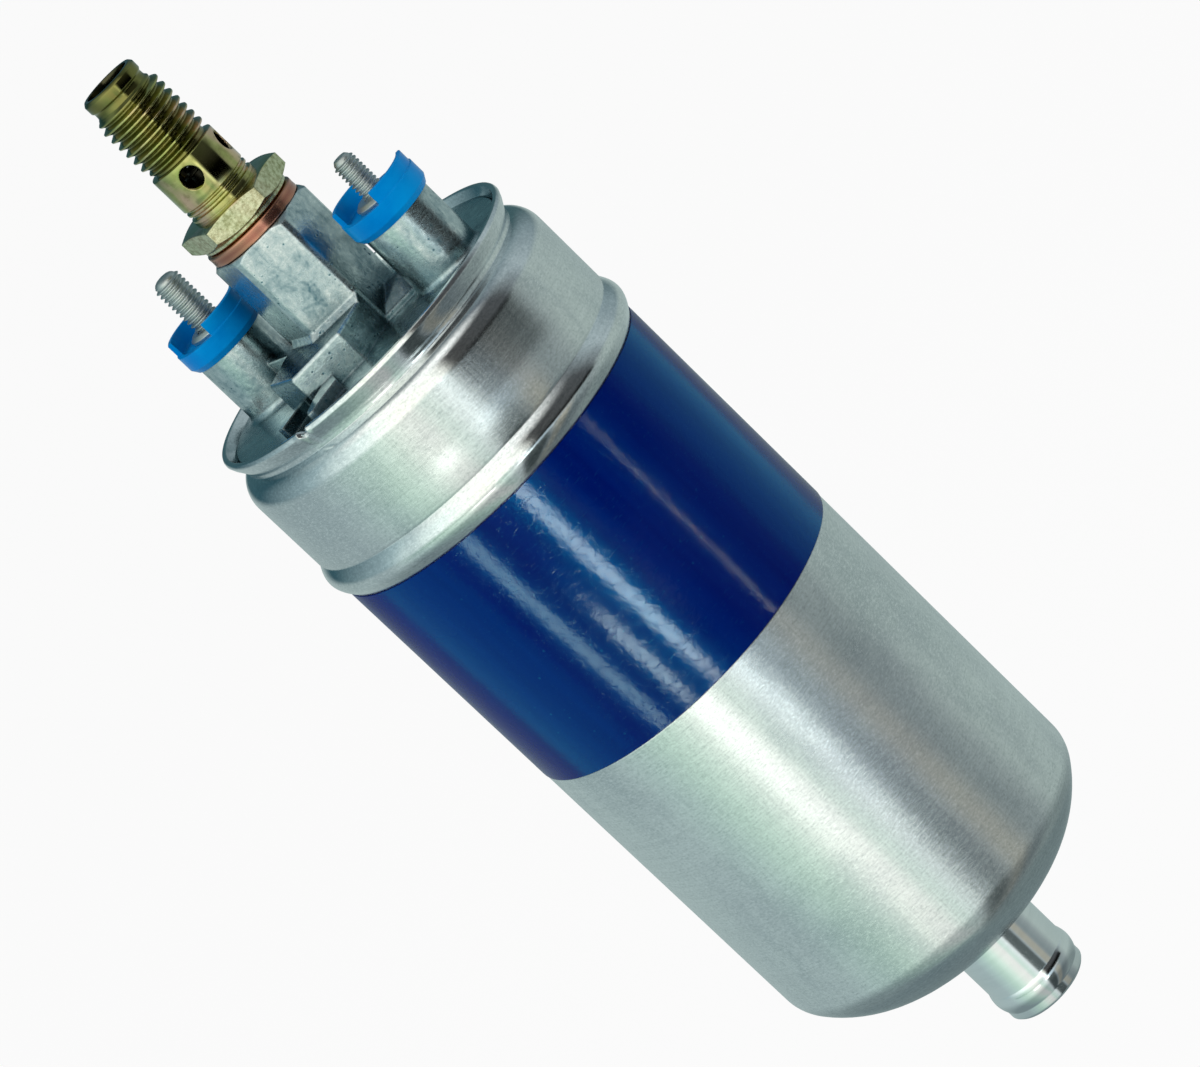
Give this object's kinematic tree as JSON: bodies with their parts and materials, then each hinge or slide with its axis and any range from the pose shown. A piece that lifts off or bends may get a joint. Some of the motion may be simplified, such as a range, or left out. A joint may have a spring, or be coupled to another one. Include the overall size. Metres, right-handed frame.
{
  "type": "electric fuel pump",
  "caption": "Inline roller-cell electric fuel pump: satin can with a dark blue band, hose inlet, die-cast head, capped stud terminals and a check-valve banjo outlet.",
  "frame": {"origin": "on the pump's axis, at the middle of the can's bare cylindrical wall, where the mounting clamp grips it", "axes": "+Z along the pump from the inlet nipple to the outlet valve; the raised block on the head lies towards -X and -Y of the boss, and the smaller terminal towards +X and -Y"},
  "size_m": [0.0626, 0.0626, 0.2068],
  "materials": {
    "can_aluminium": "satin",
    "band_film": "gloss",
    "zinc_plate": "bright plated",
    "die_cast": "cast, grainy",
    "yellow_chromate": "yellow passivated",
    "copper": "satin",
    "stud_steel": "satin plated",
    "cap_plastic": "gloss",
    "ivory_plastic": "matte",
    "dark_plastic": "matte",
    "brown_resin": "satin",
    "rubber": "matte",
    "bronze": "satin",
    "brass_strip": "satin",
    "soft_steel": "dull",
    "ground_steel": "ground",
    "spring_steel": "drawn",
    "ferrite": "matte",
    "carbon": "matte",
    "washer_plastic": "matte"
  },
  "bodies": {
    "housing": {"can": "can_aluminium", "band_sleeve": "band_film", "inlet_nipple": "zinc_plate", "inlet_strainer": "brass_strip", "head": "die_cast", "head_oring": "rubber", "valve_body": "yellow_chromate", "copper_washer": "copper", "valve_plug": "yellow_chromate", "valve_spring": "spring_steel", "stud_m5": "stud_steel", "stud_m4": "stud_steel", "washer_m5": "stud_steel", "washer_m4": "stud_steel", "cap_m5": "cap_plastic", "cap_m4": "cap_plastic", "insulator_m5": "ivory_plastic", "insulator_m4": "ivory_plastic", "contact_m5": "brass_strip", "contact_m4": "brass_strip", "brush_holder": "dark_plastic", "upper_bearing": "bronze", "brush_spring_plus": "spring_steel", "brush_spring_minus": "spring_steel", "flux_ring": "soft_steel", "magnet_north": "ferrite", "magnet_south": "ferrite", "magnet_clips": "spring_steel", "base_plate": "ground_steel", "lower_bearing": "bronze", "cam_ring": "ground_steel", "end_plate": "ground_steel", "pump_screws": "zinc_plate", "relief_cage": "zinc_plate", "relief_spring": "spring_steel"},
    "armature": {"shaft": "ground_steel", "armature_core": "soft_steel", "windings": "copper", "commutator_hub": "brown_resin", "commutator_bars": "copper", "thrust_washers": "washer_plastic", "rotor": "ground_steel"},
    "roller_1": {"roller_1": "ground_steel"},
    "roller_2": {"roller_2": "ground_steel"},
    "roller_3": {"roller_3": "ground_steel"},
    "roller_4": {"roller_4": "ground_steel"},
    "roller_5": {"roller_5": "ground_steel"},
    "poppet": {"valve_poppet": "zinc_plate", "poppet_seal": "rubber"},
    "relief_ball": {"relief_ball": "ground_steel"},
    "brush_plus": {"brush_plus": "carbon"},
    "brush_minus": {"brush_minus": "carbon"}
  },
  "joints": [
    {"name": "armature_spin", "type": "hinge", "parent": "housing", "child": "armature", "pos_m": [0, 0, 0], "axis": [0, 0, 1], "continuous": true},
    {"name": "roller_1_spin", "type": "hinge", "parent": "armature", "child": "roller_1", "pos_m": [0.01305, 0, -0.01742], "axis": [0, 0, 1], "continuous": true},
    {"name": "roller_2_spin", "type": "hinge", "parent": "armature", "child": "roller_2", "pos_m": [0.00403, 0.01241, -0.01742], "axis": [0, 0, 1], "continuous": true},
    {"name": "roller_3_spin", "type": "hinge", "parent": "armature", "child": "roller_3", "pos_m": [-0.01056, 0.00767, -0.01742], "axis": [0, 0, 1], "continuous": true},
    {"name": "roller_4_spin", "type": "hinge", "parent": "armature", "child": "roller_4", "pos_m": [-0.01056, -0.00767, -0.01742], "axis": [0, 0, 1], "continuous": true},
    {"name": "roller_5_spin", "type": "hinge", "parent": "armature", "child": "roller_5", "pos_m": [0.00403, -0.01241, -0.01742], "axis": [0, 0, 1], "continuous": true},
    {"name": "brush_plus_slide", "type": "slide", "parent": "housing", "child": "brush_plus", "axis": [0, 0, 1], "range_m": [0, 0.0025], "stiffness_N_per_m": 400, "springref_m": -0.006, "deforming": ["brush_spring_plus"]},
    {"name": "brush_minus_slide", "type": "slide", "parent": "housing", "child": "brush_minus", "axis": [0, 0, 1], "range_m": [0, 0.0025], "stiffness_N_per_m": 400, "springref_m": -0.006, "deforming": ["brush_spring_minus"]},
    {"name": "check_valve_lift", "type": "slide", "parent": "housing", "child": "poppet", "axis": [0, 0, 1], "range_m": [0, 0.0025], "stiffness_N_per_m": 300, "springref_m": -0.004, "deforming": ["valve_spring"]},
    {"name": "relief_ball_slide", "type": "slide", "parent": "housing", "child": "relief_ball", "axis": [0, 0, -1], "range_m": [0, 0.0012], "stiffness_N_per_m": 2000, "springref_m": -0.0025, "deforming": ["relief_spring"]}
  ],
  "couplings": [
    {"joint": "roller_1_spin", "follows": "armature_spin", "ratio": -5.1714},
    {"joint": "roller_2_spin", "follows": "armature_spin", "ratio": -5.1714},
    {"joint": "roller_3_spin", "follows": "armature_spin", "ratio": -5.1714},
    {"joint": "roller_4_spin", "follows": "armature_spin", "ratio": -5.1714},
    {"joint": "roller_5_spin", "follows": "armature_spin", "ratio": -5.1714}
  ]
}
